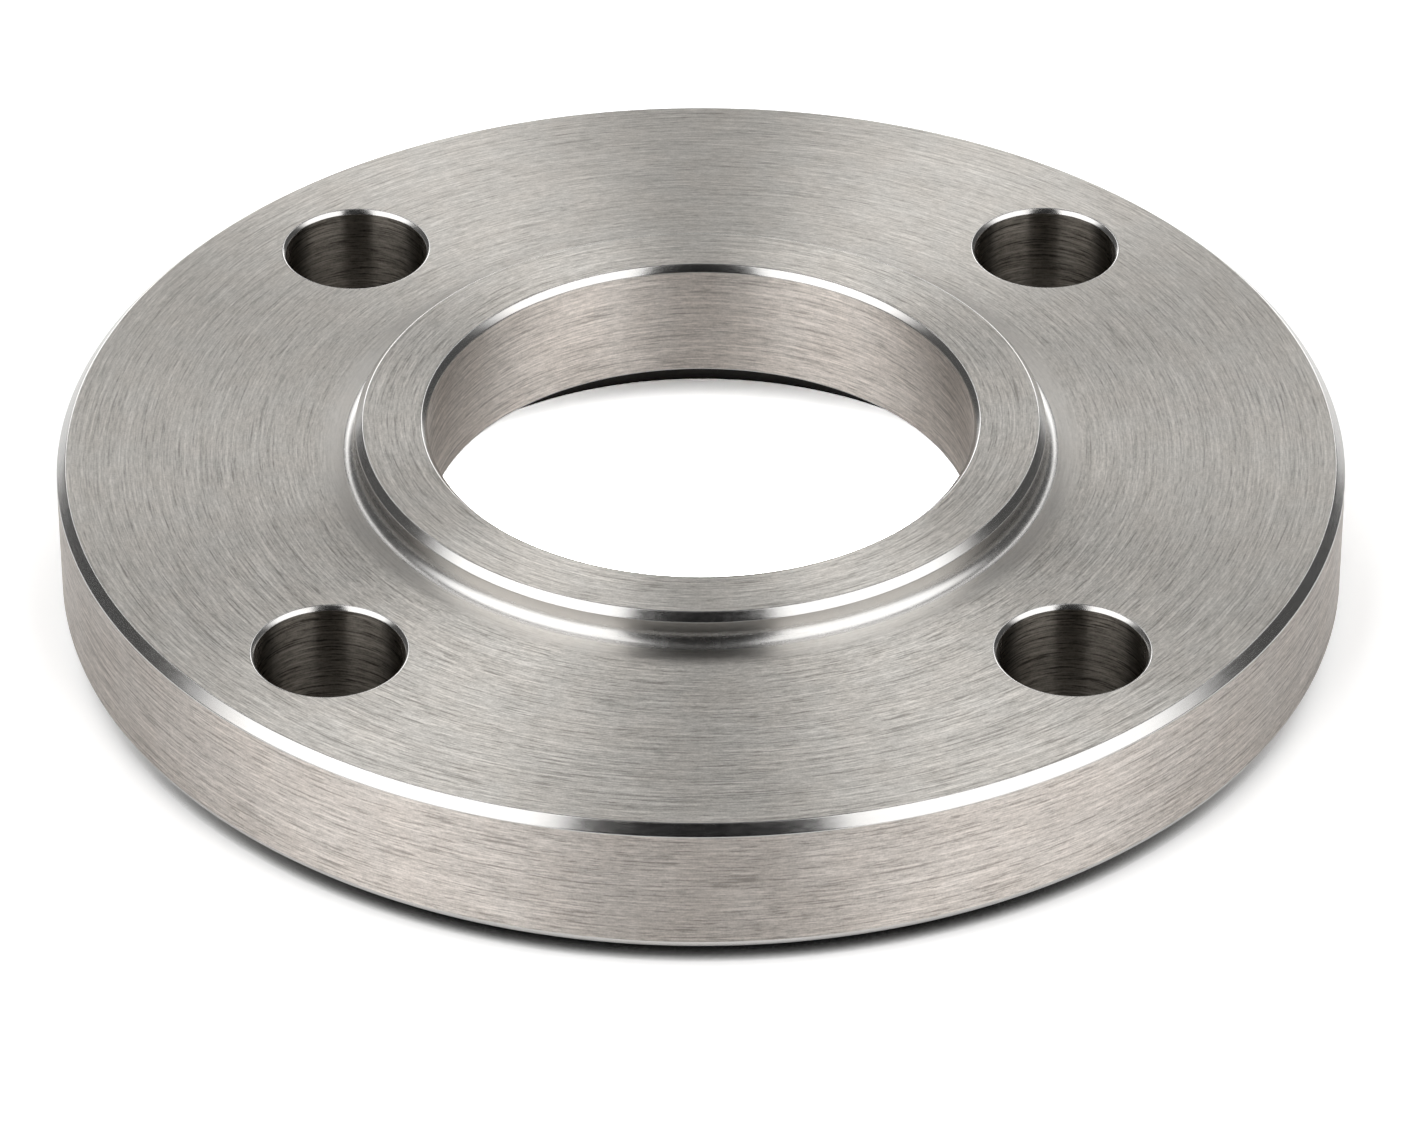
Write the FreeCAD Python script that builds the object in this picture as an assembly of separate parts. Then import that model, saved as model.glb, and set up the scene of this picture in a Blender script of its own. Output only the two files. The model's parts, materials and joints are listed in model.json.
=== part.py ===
import FreeCAD, Part
import math
import os

# Slip on pipe flange with a low hub, turned from one forged ring. Millimetres, +Z up.
# It lies on its raised gasket face, with the hub on top. The origin is the centre of that face.

# Rim
outer_diameter = 177.8
rim_thickness = 20.0
rim_chamfer = 1.25

# Hub on the back of the rim
hub_diameter = 95.3
hub_height = 4.3
hub_chamfer = 1.0
hub_root_radius = 1.7

# Bore that slips over the pipe
bore_diameter = 75.4
bore_chamfer = 0.8

# Groove for the weld inside, where the bore opens in the gasket face
weld_bevel_height = 8.6
weld_bevel_angle = 50.0

# Raised gasket face
raised_face_diameter = 104.8
raised_face_height = 1.6
raised_face_chamfer = 0.3
raised_face_root_radius = 0.8

# Bolt holes, with the first one half a spacing away from +X
bolt_hole_count = 4
bolt_circle_diameter = 139.7
bolt_hole_diameter = 20.0
bolt_hole_chamfer = 0.5

# How far a cutter runs past the face that it opens
cutter_overrun = 1.0

# Heights and radii that follow
rim_front = raised_face_height
rim_back = rim_front + rim_thickness
hub_top = rim_back + hub_height
outer_radius = outer_diameter / 2
hub_radius = hub_diameter / 2
bore_radius = bore_diameter / 2
raised_face_radius = raised_face_diameter / 2
bevel_mouth_radius = bore_radius + weld_bevel_height * math.tan(math.radians(weld_bevel_angle))


def point(radius, height):
    return FreeCAD.Vector(radius, 0, height)


def towards(start, end, distance):
    """The point at a distance from start, on the line to end."""
    return start + (end - start).normalize() * distance


def sharp(corner, before, after):
    """The corner left as it is: its two tangent points are the corner."""
    return corner, corner, None


def chamfered(size):
    """A corner cut off at the same size along both of its sides."""
    def cut(corner, before, after):
        start = towards(corner, before, size)
        end = towards(corner, after, size)
        return start, end, Part.LineSegment(start, end).toShape()
    return cut


def rounded(radius):
    """A corner replaced by an arc that is tangent to both of its sides."""
    def cut(corner, before, after):
        half_angle = (before - corner).getAngle(after - corner) / 2
        start = towards(corner, before, radius / math.tan(half_angle))
        end = towards(corner, after, radius / math.tan(half_angle))
        middle = towards(corner, (start + end) / 2, radius / math.sin(half_angle) - radius)
        return start, end, Part.Arc(start, middle, end).toShape()
    return cut


def outline(corners):
    """A closed wire through the corners, each given as its point and its finish."""
    points = [corner for corner, finish in corners]
    finished = []
    for index, (corner, finish) in enumerate(corners):
        before = points[index - 1]
        after = points[(index + 1) % len(points)]
        finished.append(finish(corner, before, after))
    edges = []
    for index, (start, end, corner_edge) in enumerate(finished):
        if corner_edge:
            edges.append(corner_edge)
        next_start = finished[(index + 1) % len(finished)][0]
        edges.append(Part.LineSegment(end, next_start).toShape())
    return Part.Wire(edges)


def turned(wire):
    """The solid that a section makes when it is turned about the Z axis."""
    axis_point = FreeCAD.Vector(0, 0, 0)
    axis = FreeCAD.Vector(0, 0, 1)
    return Part.Face(wire).revolve(axis_point, axis, 360)


def turned_ring():
    """The whole flange without its bolt holes, turned from its half section."""
    section = [
        (point(bore_radius, weld_bevel_height), sharp),
        (point(bevel_mouth_radius, 0), sharp),
        (point(raised_face_radius, 0), chamfered(raised_face_chamfer)),
        (point(raised_face_radius, rim_front), rounded(raised_face_root_radius)),
        (point(outer_radius, rim_front), chamfered(rim_chamfer)),
        (point(outer_radius, rim_back), chamfered(rim_chamfer)),
        (point(hub_radius, rim_back), rounded(hub_root_radius)),
        (point(hub_radius, hub_top), chamfered(hub_chamfer)),
        (point(bore_radius, hub_top), chamfered(bore_chamfer)),
    ]
    return turned(outline(section))


def bolt_hole_cutter():
    """A drill with a countersink at each end of its cut, standing on the Z axis."""
    drill_radius = bolt_hole_diameter / 2
    mouth_radius = drill_radius + bolt_hole_chamfer + cutter_overrun
    section = [
        (point(0, rim_front - cutter_overrun), sharp),
        (point(mouth_radius, rim_front - cutter_overrun), sharp),
        (point(drill_radius, rim_front + bolt_hole_chamfer), sharp),
        (point(drill_radius, rim_back - bolt_hole_chamfer), sharp),
        (point(mouth_radius, rim_back + cutter_overrun), sharp),
        (point(0, rim_back + cutter_overrun), sharp),
    ]
    return turned(outline(section))


def bolt_hole_cutters():
    """One cutter for each hole of the bolt circle."""
    spacing = 2 * math.pi / bolt_hole_count
    cutters = []
    for index in range(bolt_hole_count):
        angle = (index + 0.5) * spacing
        cutter = bolt_hole_cutter()
        cutter.translate(FreeCAD.Vector(math.cos(angle), math.sin(angle), 0) * bolt_circle_diameter / 2)
        cutters.append(cutter)
    return cutters


def slip_on_flange():
    return turned_ring().cut(bolt_hole_cutters())


os.makedirs("parts", exist_ok=True)
flange = slip_on_flange()
flange.exportStep("parts/slip_on_flange.step")
print("volume in mm3:", round(flange.Volume, 1), "valid:", flange.isValid())
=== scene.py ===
import json
import math

import bmesh
import bpy
from mathutils import Matrix, Vector


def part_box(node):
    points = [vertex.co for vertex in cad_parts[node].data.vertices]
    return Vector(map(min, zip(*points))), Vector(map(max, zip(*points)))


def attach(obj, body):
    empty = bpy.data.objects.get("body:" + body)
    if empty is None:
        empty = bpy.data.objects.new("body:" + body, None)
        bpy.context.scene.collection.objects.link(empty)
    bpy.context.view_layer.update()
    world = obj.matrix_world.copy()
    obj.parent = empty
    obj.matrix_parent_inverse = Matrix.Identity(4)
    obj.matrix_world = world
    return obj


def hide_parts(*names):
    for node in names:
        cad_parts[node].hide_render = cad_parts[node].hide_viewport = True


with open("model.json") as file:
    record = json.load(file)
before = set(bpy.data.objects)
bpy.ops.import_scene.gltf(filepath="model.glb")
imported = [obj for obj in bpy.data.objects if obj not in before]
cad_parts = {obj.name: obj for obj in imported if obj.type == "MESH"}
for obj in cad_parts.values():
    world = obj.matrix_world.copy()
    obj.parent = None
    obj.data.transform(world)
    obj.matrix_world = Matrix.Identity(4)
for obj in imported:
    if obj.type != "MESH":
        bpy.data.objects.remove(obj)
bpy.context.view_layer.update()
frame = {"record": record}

MM = 0.001
FULL_TURN = 2 * math.pi

# Sizes read from the frame
mounts = {mount["name"]: mount for mount in frame["record"]["mounts"]}
box_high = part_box("slip_on_flange")[1]
hub_top = box_high.z
bore_radius = mounts["pipe_bore"]["dims"]["r_mm"] * MM
rim_back = mounts["nut_seat_face"]["pos_m"][2]
bolt_circle_radius = mounts["bolt_holes"]["dims"]["pcd_mm"] / 2 * MM
bolt_hole_radius = mounts["bolt_holes"]["dims"]["hole_r_mm"] * MM
bolt_hole_count = mounts["bolt_holes"]["dims"]["count"]

# Held back from the solid's own radius, so that rounding in the spin carries nothing past its box
spin_error = 0.002 * MM
outer_radius = box_high.x - spin_error

# Sizes that the frame doesn't state, as the solid has them
rim_front = 1.6 * MM
rim_chamfer = 1.25 * MM
hub_radius = 47.65 * MM
hub_chamfer = 1.0 * MM
hub_root_radius = 1.7 * MM
bore_chamfer = 0.8 * MM
weld_bevel_height = 8.6 * MM
weld_bevel_angle = math.radians(50)
bevel_mouth_radius = bore_radius + weld_bevel_height * math.tan(weld_bevel_angle)
raised_face_radius = 52.4 * MM
raised_face_chamfer = 0.3 * MM
raised_face_root_radius = 0.8 * MM
bolt_hole_chamfer = 0.5 * MM

# How far a file takes each cut edge back, and how far the rim's lower edge is rolled
edge_break = 0.14 * MM
rolled_break = 0.42 * MM

# Serrations that the lathe leaves in the gasket face
serration_pitch = 0.5 * MM
serration_depth = 0.05 * MM
serration_crest = 0.1 * MM
serration_margin = 0.35 * MM

# Flat metal that a skin keeps beyond its last corner, in edge breaks or in radii of the root there
flat_in_breaks = 3
flat_in_roots = 1.2

# Facets
ring_steps = 480
hole_steps = 96
break_segments = 3
root_segments = 8
flat_face_weight = 90

# How near a face lies to the surface that it belongs to, and how near doubles lie to each other
touch = 0.01 * MM
merge_distance = 0.0001 * MM

# The upward share of a normal, at most on an upright wall and at least on a level face
upright_share = 0.01
level_share = 0.999


# The section and the turned skins

def bevel_corner(bm, corner, size, segments):
    """Cuts or rounds one corner of a chain of edges and gives the vertices that take its place."""
    made = bmesh.ops.bevel(bm, geom=[corner], affect="VERTICES", offset=size, offset_type="OFFSET",
                           segments=segments, profile=0.5, material=-1)
    return made["verts"]


def dressed_section(corners):
    """A chain of edges in the XZ plane. Each corner is its radius, height, finish and the finish's size."""
    bm = bmesh.new()
    chain = [bm.verts.new((radius, 0, height)) for radius, height, finish, size in corners]
    for start, end in zip(chain, chain[1:]):
        bm.edges.new((start, end))
    for corner, (radius, height, finish, size) in zip(chain, corners):
        if finish == "root":
            bevel_corner(bm, corner, size, root_segments)
        elif finish == "broken":
            bevel_corner(bm, corner, size, break_segments)
        elif finish == "chamfer":
            for cut_corner in bevel_corner(bm, corner, size, 1):
                bevel_corner(bm, cut_corner, edge_break, break_segments)
        elif finish == "rolled":
            for cut_corner in bevel_corner(bm, corner, size, 1):
                bevel_corner(bm, cut_corner, rolled_break, root_segments)
    return bm


def turned_skin(corners, steps):
    """The open skin that a dressed section makes when it is turned about the Z axis."""
    bm = dressed_section(corners)
    bmesh.ops.spin(bm, geom=bm.verts[:] + bm.edges[:], cent=(0, 0, 0), axis=(0, 0, 1), dvec=(0, 0, 0),
                   angle=FULL_TURN, steps=steps, use_merge=True, use_duplicate=False)
    return bm


def rim_skin():
    """The outside of the rim, between its two flat faces."""
    flat = rim_chamfer + flat_in_breaks * rolled_break
    return turned_skin([
        (outer_radius - flat, rim_front, "end", 0),
        (outer_radius, rim_front, "rolled", rim_chamfer),
        (outer_radius, rim_back, "chamfer", rim_chamfer),
        (outer_radius - flat, rim_back, "end", 0),
    ], ring_steps)


def serration_corners():
    """The lathe's fine grooves across the gasket face, from the weld bevel outwards."""
    start = bevel_mouth_radius + serration_margin
    end = raised_face_radius - raised_face_chamfer - serration_margin
    corners = []
    for index in range(int((end - start) / serration_pitch)):
        crest = start + index * serration_pitch
        valley = crest + (serration_crest + serration_pitch) / 2
        corners.append((crest, 0, "plain", 0))
        corners.append((crest + serration_crest, 0, "plain", 0))
        corners.append((valley, serration_depth, "plain", 0))
    corners.append((crest + serration_pitch, 0, "plain", 0))
    return corners


def hub_skin():
    """The hub, the bore, the weld bevel and the raised face, between the rim's two flat faces."""
    back_flat = hub_root_radius * flat_in_roots
    front_flat = raised_face_root_radius * flat_in_roots
    return turned_skin([
        (hub_radius + back_flat, rim_back, "end", 0),
        (hub_radius, rim_back, "root", hub_root_radius),
        (hub_radius, hub_top, "chamfer", hub_chamfer),
        (bore_radius, hub_top, "chamfer", bore_chamfer),
        (bore_radius, weld_bevel_height, "broken", edge_break),
        (bevel_mouth_radius, 0, "broken", edge_break),
        *serration_corners(),
        (raised_face_radius, 0, "chamfer", raised_face_chamfer),
        (raised_face_radius, rim_front, "root", raised_face_root_radius),
        (raised_face_radius + front_flat, rim_front, "end", 0),
    ], ring_steps)


def bolt_hole_skin(centre):
    """One bolt hole's wall with the chamfer at each end."""
    flat = bolt_hole_chamfer + flat_in_breaks * edge_break
    bm = turned_skin([
        (bolt_hole_radius + flat, rim_back, "end", 0),
        (bolt_hole_radius, rim_back, "chamfer", bolt_hole_chamfer),
        (bolt_hole_radius, rim_front, "chamfer", bolt_hole_chamfer),
        (bolt_hole_radius + flat, rim_front, "end", 0),
    ], hole_steps)
    bmesh.ops.translate(bm, verts=bm.verts, vec=centre)
    return bm


def bolt_hole_centres():
    """The holes straddle the X and Y axes, so the first lies half a spacing away from +X."""
    angles = [(index + 0.5) * FULL_TURN / bolt_hole_count for index in range(bolt_hole_count)]
    return [bolt_circle_radius * Vector((math.cos(angle), math.sin(angle), 0)) for angle in angles]


def joined(skins):
    """One bmesh that holds all of the skins."""
    whole = bmesh.new()
    for skin in skins:
        mesh = bpy.data.meshes.new("skin")
        skin.to_mesh(mesh)
        skin.free()
        whole.from_mesh(mesh)
        bpy.data.meshes.remove(mesh)
    return whole


def fill_flat(bm, height, up):
    """Closes the flat face at a height, round every skin that ends there."""
    rims = [edge for edge in bm.edges if edge.is_boundary and abs(edge.verts[0].co.z - height) < touch]
    bmesh.ops.triangle_fill(bm, use_beauty=True, use_dissolve=False, edges=rims, normal=(0, 0, up))


# Which finish each surface has

finishes = ["faced_back", "hub_end", "turned_rim", "turned_bore", "cut_edge", "hub_side", "hub_root",
            "drilled_hole", "weld_bevel", "gasket_face", "faced_front"]


def finish_of(face):
    """The finish of one face of the mesh, told by where it lies and which way it looks."""
    centre = face.calc_center_median()
    radius = math.hypot(centre.x, centre.y)
    upright = abs(face.normal.z) < upright_share
    raised_face_root = raised_face_radius + raised_face_root_radius
    hub_root_top = rim_back + hub_root_radius
    hub_side_top = hub_top - hub_chamfer - edge_break
    if face.normal.z > level_share:
        return "hub_end" if centre.z > hub_root_top else "faced_back"
    if upright and abs(radius - outer_radius) < touch:
        return "turned_rim"
    if upright and abs(radius - bore_radius) < touch:
        return "turned_bore"
    if upright and centre.z < rim_back and radius > raised_face_root:
        return "drilled_hole"
    if rim_back < centre.z < hub_side_top and radius > hub_radius - touch:
        return "hub_side" if centre.z > hub_root_top else "hub_root"
    if centre.z < weld_bevel_height - edge_break and edge_break < bevel_mouth_radius - radius:
        return "weld_bevel"
    if centre.z < serration_depth and bevel_mouth_radius + edge_break < radius < raised_face_radius:
        return "gasket_face"
    if face.normal.z < -level_share or raised_face_radius - touch < radius < raised_face_root:
        return "faced_front"
    return "cut_edge"


def flange_mesh():
    """The whole flange as one closed mesh, with the index of its finish on each face."""
    skins = [rim_skin(), hub_skin()]
    skins += [bolt_hole_skin(centre) for centre in bolt_hole_centres()]
    bm = joined(skins)
    fill_flat(bm, rim_back, 1)
    fill_flat(bm, rim_front, -1)
    bmesh.ops.remove_doubles(bm, verts=bm.verts, dist=merge_distance)
    bmesh.ops.recalc_face_normals(bm, faces=bm.faces)
    for face in bm.faces:
        face.smooth = True
        face.material_index = finishes.index(finish_of(face))
    mesh = bpy.data.meshes.new("turned_flange")
    bm.to_mesh(mesh)
    bm.free()
    return mesh


def flange_piece():
    """The flange as an object. Its large faces keep their true normals up to the edges."""
    piece = bpy.data.objects.new("turned_flange", flange_mesh())
    bpy.context.scene.collection.objects.link(piece)
    weighted = piece.modifiers.new("true_face_normals", "WEIGHTED_NORMAL")
    weighted.mode = "FACE_AREA"
    weighted.weight = flat_face_weight
    weighted.keep_sharp = False
    return piece


# Shader maths

class Socket:
    """One socket of a shader tree, or the bare tree. Sums on it add nodes and give the result's socket."""

    def __init__(self, tree, output=None):
        self.tree = tree
        self.output = output

    def node(self, kind, settings=None, sockets=None, output=0):
        """Any node: its settings are made first, then its sockets get their numbers, colours or links."""
        made = self.tree.nodes.new("ShaderNode" + kind)
        for name, value in (settings or {}).items():
            setattr(made, name, value)
        for name, value in (sockets or {}).items():
            if isinstance(value, Socket):
                self.tree.links.new(value.output, made.inputs[name])
            else:
                made.inputs[name].default_value = value
        return Socket(self.tree, made.outputs[output])

    def math(self, operation, *others):
        """A Math node on this socket and then the others."""
        return self.node("Math", {"operation": operation}, dict(enumerate((self, *others))))

    def __add__(self, other):
        return self.math("ADD", other)

    def __sub__(self, other):
        return self.math("SUBTRACT", other)

    def __rsub__(self, other):
        return self.node("Math", {"operation": "SUBTRACT"}, {0: other, 1: self})

    def __mul__(self, other):
        return self.math("MULTIPLY", other)

    def __truediv__(self, other):
        return self.math("DIVIDE", other)

    __radd__ = __add__
    __rmul__ = __mul__

    def rise(self, start, end):
        """0 below start, 1 above end and smooth between them."""
        return self.node("MapRange", {"interpolation_type": "SMOOTHSTEP"},
                         {"Value": self, "From Min": start, "From Max": end})

    def parts(self):
        """The X, Y and Z of a vector."""
        split = self.node("SeparateXYZ", None, {"Vector": self})
        return [Socket(self.tree, output) for output in split.output.node.outputs]

    def blend(self, low, high):
        """A colour between two colours, with this socket as the factor."""
        return self.node("Mix", {"data_type": "RGBA"}, {0: self, 6: low, 7: high}, 2)


def shader_tree(block):
    """An empty shader tree on a new material or world."""
    block.use_nodes = True
    block.node_tree.nodes.clear()
    return Socket(block.node_tree)


def end_tree(surface, kind):
    """Links a finished surface to the tree's output, which is of the kind Material or World."""
    end = surface.tree.nodes.new("ShaderNodeOutput" + kind)
    surface.tree.links.new(surface.output, end.inputs["Surface"])


# The metal's finishes

# Each mark of the tool: the width and length of its noise's cells in millimetres, and the noise's roughness
even_grain = (0.22, 1.4, 0.6)
short_scratch = (0.24, 4.0, 0.4)
long_scratch = (0.31, 11.0, 0.4)

# Heights of the noise between which a scratch or a painted glint line comes in
short_scratch_onset = (0.52, 0.76)
long_scratch_onset = (0.54, 0.76)
painted_glint_onset = (0.54, 0.72)

# Moves of a pattern that keep two noises, or two holes, from looking alike
noise_shift = 7
hole_shift_x = 5
hole_shift_y = 11

# Spots without a direction, each as its noise's scale and detail: fine speckle, wide clouds that turn the
# metal's colour slightly, and the mottle in the weld groove's painted shade
speckles = (3600.0, 1.0)
clouds = (140.0, 2.0)
shade_mottle = (1500.0, 3.0)
cloud_onset = (0.3, 0.7)
warm_tint = (1.0, 0.994, 0.987, 1)
cool_tint = (0.992, 0.998, 1.0, 1)

# How much each kind of mark counts in the colour and in the height
noise_middle = 0.5
mean_tone = 0.58
speckle_share = 0.5
painted_glint_share = 0.7
grain_height = 0.4

# How far the grain moves the roughness, and how the metal shines where it is polished
roughness_spread = 0.1
polished_roughness = 0.31
polished_anisotropic = 1.0
polished_grain = 0.3

# Painted light: the contrast of the marks on a face at its back and sides, and what it gains towards the
# front, where the light shows them most
lit_front_least = 0.84
lit_front_gain = 0.21
lit_front_onset = (0.0, 0.8)

# A quarter turn, so that the sheen spreads across the grooves
sheen_turn = 0.25

# Painted shade: drilled walls are kept from brightening where they are seen edge on, so the holes' ends
# stay dark
hole_shade_edge_tint = (0.1, 0.1, 0.1, 1)
plain_edge_tint = (1, 1, 1, 1)


def turned_place(tree, holes=False):
    """Where a point lies about its axis, in millimetres: its radius, its height and the way out from it."""
    place = tree.node("TexCoord", None, None, "Object")
    x, y, z = place.node("VectorMath", {"operation": "SCALE"}, {0: place, "Scale": 1 / MM}).parts()
    if holes:
        # Each hole's own axis, found by folding the flange onto one quarter
        offset = bolt_circle_radius / MM * math.sqrt(0.5)
        z = z + x.math("SIGN") * hole_shift_x + y.math("SIGN") * hole_shift_y
        x = x.math("ABSOLUTE") - offset
        y = y.math("ABSOLUTE") - offset
    radius = (x * x + y * y).math("SQRT")
    return radius, z, (x / radius, y / radius)


def tool_marks(tree, across, way_out, reach, wide, long, rough):
    """Noise in cells as wide as given across the tool's path and as long along it, at a radius of reach."""
    turn = reach / long
    vector = tree.node("CombineXYZ", None, {
        "X": across * (1 / wide) + long * noise_shift, "Y": way_out[0] * turn, "Z": way_out[1] * turn})
    return tree.node("TexNoise", None, {"Vector": vector, "Scale": 1.0, "Detail": 1.0, "Roughness": rough})


def spots(tree, scale, detail):
    """Noise with no direction, on the object's own coordinates."""
    place = tree.node("TexCoord", None, None, "Object")
    return tree.node("TexNoise", None, {"Vector": place, "Scale": scale, "Detail": detail})


def metal(name, tones, lean, reach, roughness, anisotropic, grain, cut, depth,
          holes=False, polished=None, painted_front_contrast=False):
    """Machined stainless steel. tones are its dark and its light colour. lean is how much radius and
    height count across the marks, and reach is the surface's usual radius. grain and cut are the contrast
    of the even grain and of the single scratches, and depth is how deep they are in millimetres. polished
    gives the two radii of a shinier part. On a face so flagged, the marks and glints are painted with more
    contrast in front, at -Y, where the light shows them most."""
    material = bpy.data.materials.new(name)
    tree = shader_tree(material)
    radius, z, way_out = turned_place(tree, holes)
    across = radius * lean[0] + z * lean[1]

    # What is left of the marks in the polished part, and the painted contrast that grows towards the front,
    # where the light shows the marks most
    kept = radius.rise(*polished) * (1 - polished_grain) + polished_grain if polished else 1.0
    lit_front = (0 - way_out[1]).rise(*lit_front_onset) * lit_front_gain + lit_front_least if painted_front_contrast else 1.0
    kept_and_lit_front = kept * lit_front

    fine = tool_marks(tree, across, way_out, reach, *even_grain)
    short = tool_marks(tree, across, way_out, reach, *short_scratch).rise(*short_scratch_onset)
    drawn = tool_marks(tree, across, way_out, reach, *long_scratch)
    scored = (short + drawn.rise(*long_scratch_onset)) * lit_front
    # Painted glints: light lines in the colour that stand in for scratches catching the light
    painted_glint = (1 - drawn).rise(*painted_glint_onset) * lit_front
    speckle = spots(tree, *speckles)
    cloud = spots(tree, *clouds)

    marks = (fine - noise_middle) * grain + (speckle - noise_middle) * (grain * speckle_share)
    tone = (marks - (scored - painted_glint * painted_glint_share) * cut) * kept_and_lit_front + mean_tone
    tint = cloud.rise(*cloud_onset).blend(warm_tint, cool_tint)
    colour = tree.node("Mix", {"data_type": "RGBA", "blend_type": "MULTIPLY"},
                       {0: 1.0, 6: tone.blend(tones[0], tones[1]), 7: tint}, 2)
    height = (fine * grain_height - scored) * kept_and_lit_front * depth
    bump = tree.node("Bump", None, {"Strength": 1.0, "Distance": MM, "Height": height})

    def steel(mean_roughness, sheen, edge_tint):
        return tree.node("BsdfPrincipled", None, {
            "Base Color": colour, "Metallic": 1.0, "Normal": bump,
            "Roughness": fine * roughness_spread + (mean_roughness - roughness_spread / 2),
            "Anisotropic": sheen, "Anisotropic Rotation": sheen_turn, "Specular Tint": edge_tint})

    surface = steel(roughness, anisotropic, hole_shade_edge_tint if holes else plain_edge_tint)
    if polished:
        shiny = steel(polished_roughness, polished_anisotropic, plain_edge_tint)
        surface = tree.node("MixShader", None, {0: radius.rise(*polished), 1: shiny, 2: surface})
    end_tree(surface, "Material")
    return material


def painted_shade_groove(name):
    """The weld groove, its colour painted near black as the shade that lies in it under the flange."""
    black = (0.008, 0.007, 0.006, 1)
    faded_black = (0.022, 0.02, 0.018, 1)
    material = bpy.data.materials.new(name)
    tree = shader_tree(material)
    colour = spots(tree, *shade_mottle).rise(*cloud_onset).blend(black, faded_black)
    end_tree(tree.node("BsdfPrincipled", None, {
        "Base Color": colour, "Roughness": 0.9, "Specular IOR Level": 0.1}), "Material")
    return material


def flange_metals():
    """The material of each finish, by the finish's name."""
    # How much radius and height count across the marks of a flat face and of a turned wall
    face = (1.0, 1.7)
    wall = (1.7, 1.0)
    warm = ((0.36, 0.344, 0.32, 1), (0.77, 0.742, 0.705, 1))
    rosy = ((0.34, 0.313, 0.288, 1), (0.72, 0.668, 0.625, 1))
    pale_rosy = ((0.4, 0.37, 0.342, 1), (0.84, 0.78, 0.73, 1))
    bright = ((0.5, 0.49, 0.475, 1), (0.58, 0.57, 0.56, 1))
    # The drilled holes' dark tones are partly their duller metal and partly painted shade of the holes'
    # depth
    dull_and_shaded = ((0.07, 0.062, 0.052, 1), (0.34, 0.309, 0.27, 1))
    return {
        "faced_back": metal("faced_back", warm, face, reach=70, roughness=0.61, anisotropic=0.84,
                            grain=1.05, cut=0.4, depth=0.013, polished=(50.4, 53.8), painted_front_contrast=True),
        "hub_end": metal("hub_end", warm, face, reach=42, roughness=0.61, anisotropic=0.84,
                         grain=1.0, cut=0.36, depth=0.012),
        "turned_rim": metal("turned_rim", rosy, wall, reach=89, roughness=0.52, anisotropic=0.88,
                            grain=1.15, cut=0.46, depth=0.014),
        "turned_bore": metal("turned_bore", pale_rosy, wall, reach=38, roughness=0.52, anisotropic=0.86,
                             grain=1.0, cut=0.42, depth=0.014),
        "cut_edge": metal("cut_edge", bright, face, reach=70, roughness=0.2, anisotropic=0.5,
                          grain=0.6, cut=0.1, depth=0.0015),
        "hub_side": metal("hub_side", bright, wall, reach=48, roughness=0.2, anisotropic=0.5,
                          grain=0.6, cut=0.1, depth=0.0015),
        "hub_root": metal("hub_root", bright, face, reach=49, roughness=0.26, anisotropic=0.8,
                          grain=0.8, cut=0.15, depth=0.003),
        "drilled_hole": metal("drilled_hole", dull_and_shaded, wall, reach=10, roughness=0.34, anisotropic=1.0,
                              grain=0.9, cut=0.5, depth=0.015, holes=True),
        "weld_bevel": painted_shade_groove("weld_bevel"),
        "gasket_face": metal("gasket_face", warm, face, reach=50, roughness=0.3, anisotropic=0.6,
                             grain=0.6, cut=0.1, depth=0.004),
        "faced_front": metal("faced_front", warm, face, reach=70, roughness=0.5, anisotropic=0.9,
                             grain=0.7, cut=0.45, depth=0.01),
    }


flange = flange_piece()
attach(flange, "root")
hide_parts("slip_on_flange")

metals = flange_metals()
for finish in finishes:
    flange.data.materials.append(metals[finish])


# Floor

floor_size = 12.0
floor_drop = 0.02 * MM
paper_white = (1.0, 1.0, 1.0, 1)

# How far past white the camera sees the paper, outside and through the bore, where it is painted far
# brighter so that the shade in there washes out
whitened_outside = 1.3
whitened_in_bore = 8.0

# Radii in millimetres between which the paper seen through the bore passes into the paper outside
bore_paper_edge = (48.5, 51.0)

# The painted shade at the flange's foot: its reach, its rays, how much open sky ends it, and its depth
shade_reach = 14 * MM
shade_rays = 8
shade_end = (0.22, 0.64)
shade_depth = 0.985

# The side light reaches under the rim, so the painted shade is left only in front and behind
shade_beside = (0.12, 0.95)


def white_paper():
    """Matt white paper, which the camera sees overexposed and the metal doesn't. The camera's view of it
    has shade painted in at the flange's foot and is painted far brighter through the bore.
    """
    paper = bpy.data.materials.new("white_paper")
    tree = shader_tree(paper)
    plain = tree.node("BsdfDiffuse", None, {"Color": paper_white})
    open_sky = tree.node("AmbientOcclusion", {"samples": shade_rays}, {"Distance": shade_reach}, "AO")
    radius, z, way_out = turned_place(tree)
    outside = radius.rise(*bore_paper_edge)
    covered = 1 - open_sky.rise(*shade_end)
    shaded = covered * way_out[1].math("ABSOLUTE").rise(*shade_beside) * shade_depth
    white = (1 - shaded) * outside * whitened_outside + (1 - outside) * whitened_in_bore
    overexposed = tree.node("BsdfDiffuse", None, {"Color": white})
    seen = tree.node("LightPath", None, None, "Is Camera Ray")
    end_tree(tree.node("MixShader", None, {0: seen, 1: plain, 2: overexposed}), "Material")
    return paper


def floor_piece():
    """One flat sheet of paper, just under the gasket face."""
    bm = bmesh.new()
    bmesh.ops.create_grid(bm, x_segments=1, y_segments=1, size=floor_size / 2)
    bmesh.ops.translate(bm, verts=bm.verts, vec=(0, 0, -floor_drop))
    mesh = bpy.data.meshes.new("floor")
    bm.to_mesh(mesh)
    bm.free()
    mesh.materials.append(white_paper())
    floor = bpy.data.objects.new("floor", mesh)
    bpy.context.scene.collection.objects.link(floor)
    return floor


floor_piece()


# Studio light

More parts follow.
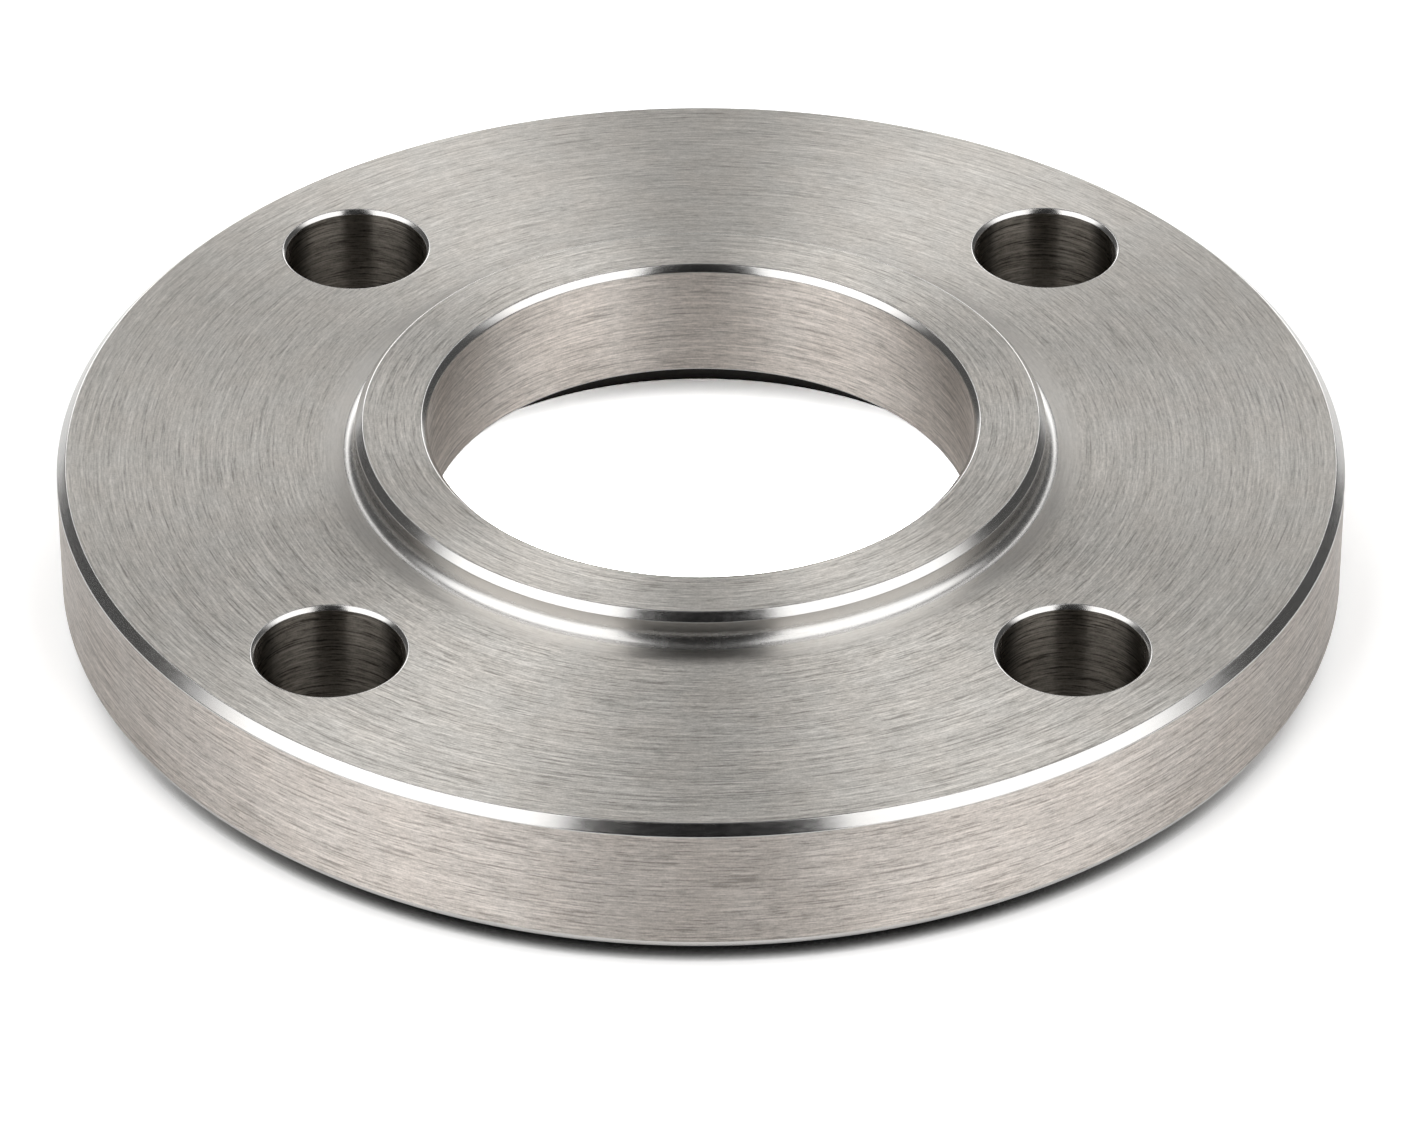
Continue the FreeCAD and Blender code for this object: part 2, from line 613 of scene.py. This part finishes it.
# How bright each box is, how much light the walls at the sides give back, and how far the left side leads
front_light = 2.62
rear_light = 3.25
overhead_light = 3.5
wall_light = 0.136
left_lead = 0.049

# The front boxes: the slot between them with how fast it narrows in front and widens behind, the sloping
# edge below them, and the edge at their far side, which comes forward under a low elevation
slot_edge = (0.114, 0.144)
slot_in_front = 0.294
slot_behind = 0.371
front_slope = 1.026
front_low_edge = (0.2, 0.689)
front_far_edge = (120.5, 132.5)
front_far_lean = 1.265
low_elevation = 31

# The rear boxes: their near, far and top edges in degrees
rear_near_edge = (145, 159)
rear_far_edge = (155.4, 169.4)
rear_far_lean = 0.703
rear_top_edge = (44.8, 60.8)

# The overhead boxes: where they hang, their edge and the gap between them
overhead_y, overhead_z = 0.487, 0.8734
overhead_edge = (0.962, 0.992)
overhead_gap = (0.083, 0.147)

# From where on the walls at the sides give light, in degrees
wall_edge = (60, 100)

in_degrees = 180 / math.pi


def studio():
    """A softbox on each side in front, one on each side behind and a pair overhead, with dark gaps between.
    Azimuth is measured from the camera round to both sides."""
    world = bpy.data.worlds.new("studio")
    tree = shader_tree(world)
    x, y, z = tree.node("TexCoord", None, None, "Generated").parts()
    aside = x.math("ABSOLUTE")
    azimuth = aside.math("ARCTAN2", 0 - y) * in_degrees
    elevation = z.math("ARCSINE") * in_degrees
    below = (low_elevation - elevation).math("MAXIMUM", 0.0)

    narrowed = y.math("MINIMUM", 0.0) * slot_in_front
    widened = y.math("MAXIMUM", 0.0) * slot_behind
    front = (aside + narrowed - widened).rise(*slot_edge) * (z - y * front_slope).rise(*front_low_edge)
    front = front * (1 - (azimuth + below * front_far_lean).rise(*front_far_edge))

    rear = azimuth.rise(*rear_near_edge) * (1 - (azimuth - below * rear_far_lean).rise(*rear_far_edge))
    rear = rear * (1 - elevation.rise(*rear_top_edge))

    overhead = (y * overhead_y + z * overhead_z).rise(*overhead_edge) * aside.rise(*overhead_gap)

    boxes = (front * front_light).math("MAXIMUM", rear * rear_light)
    boxes = boxes.math("MAXIMUM", overhead * overhead_light)
    light = (boxes + azimuth.rise(*wall_edge) * wall_light) * (1 - x * left_lead)
    end_tree(tree.node("Background", None, {"Strength": light}), "World")
    return world


bpy.context.scene.world = studio()


# Camera

camera_distance = 1070.10708 * MM
camera_elevation = math.radians(34.994)
camera_pitch = math.radians(35.054)
camera_roll = math.radians(-0.075)
aim_height = 2.8 * MM
lens_pixels = 7667.5
photo_width = 1402
sensor_width = 36
farthest_seen = 20


def photo_camera():
    """The camera of the photo: it stands in front, looks down on the flange and has a long lens."""
    camera = bpy.data.objects.new("camera", bpy.data.cameras.new("camera"))
    bpy.context.scene.collection.objects.link(camera)
    camera.data.sensor_width = sensor_width
    camera.data.lens = sensor_width * lens_pixels / photo_width
    camera.data.clip_end = farthest_seen
    place = Vector((0, -camera_distance * math.cos(camera_elevation),
                    aim_height + camera_distance * math.sin(camera_elevation)))
    turn = Matrix.Rotation(math.pi / 2 - camera_pitch, 4, "X") @ Matrix.Rotation(camera_roll, 4, "Z")
    camera.matrix_world = Matrix.Translation(place) @ turn
    return camera


bpy.context.scene.camera = photo_camera()
bpy.context.scene.view_settings.view_transform = "Standard"
